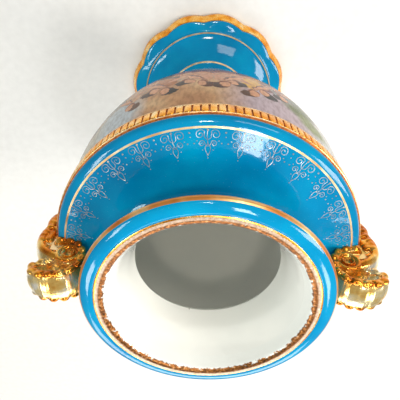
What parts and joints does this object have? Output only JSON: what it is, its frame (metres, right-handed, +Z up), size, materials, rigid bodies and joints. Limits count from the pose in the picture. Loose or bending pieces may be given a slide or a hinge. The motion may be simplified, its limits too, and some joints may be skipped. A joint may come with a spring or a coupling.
{
  "type": "mantel urn",
  "caption": "Porcelain mantel urn with a flared mouth, flat shoulder, painted belly, gilt scroll handles and a lobed foot.",
  "frame": {"origin": "centre of the foot's underside", "axes": "+Z up along the axis of the urn, +X through one handle"},
  "size_m": [0.223, 0.1986, 0.3355],
  "materials": {
    "turquoise_glaze": "glossy sky-blue ground glaze over porcelain",
    "gilding": "burnished fired gilding, orange-gold, worn at the mouth",
    "white_porcelain": "clear glaze over white porcelain",
    "painted_band": null
  },
  "bodies": {
    "root": {"vase": "turquoise_glaze", "foot": "turquoise_glaze"}
  },
  "joints": []
}
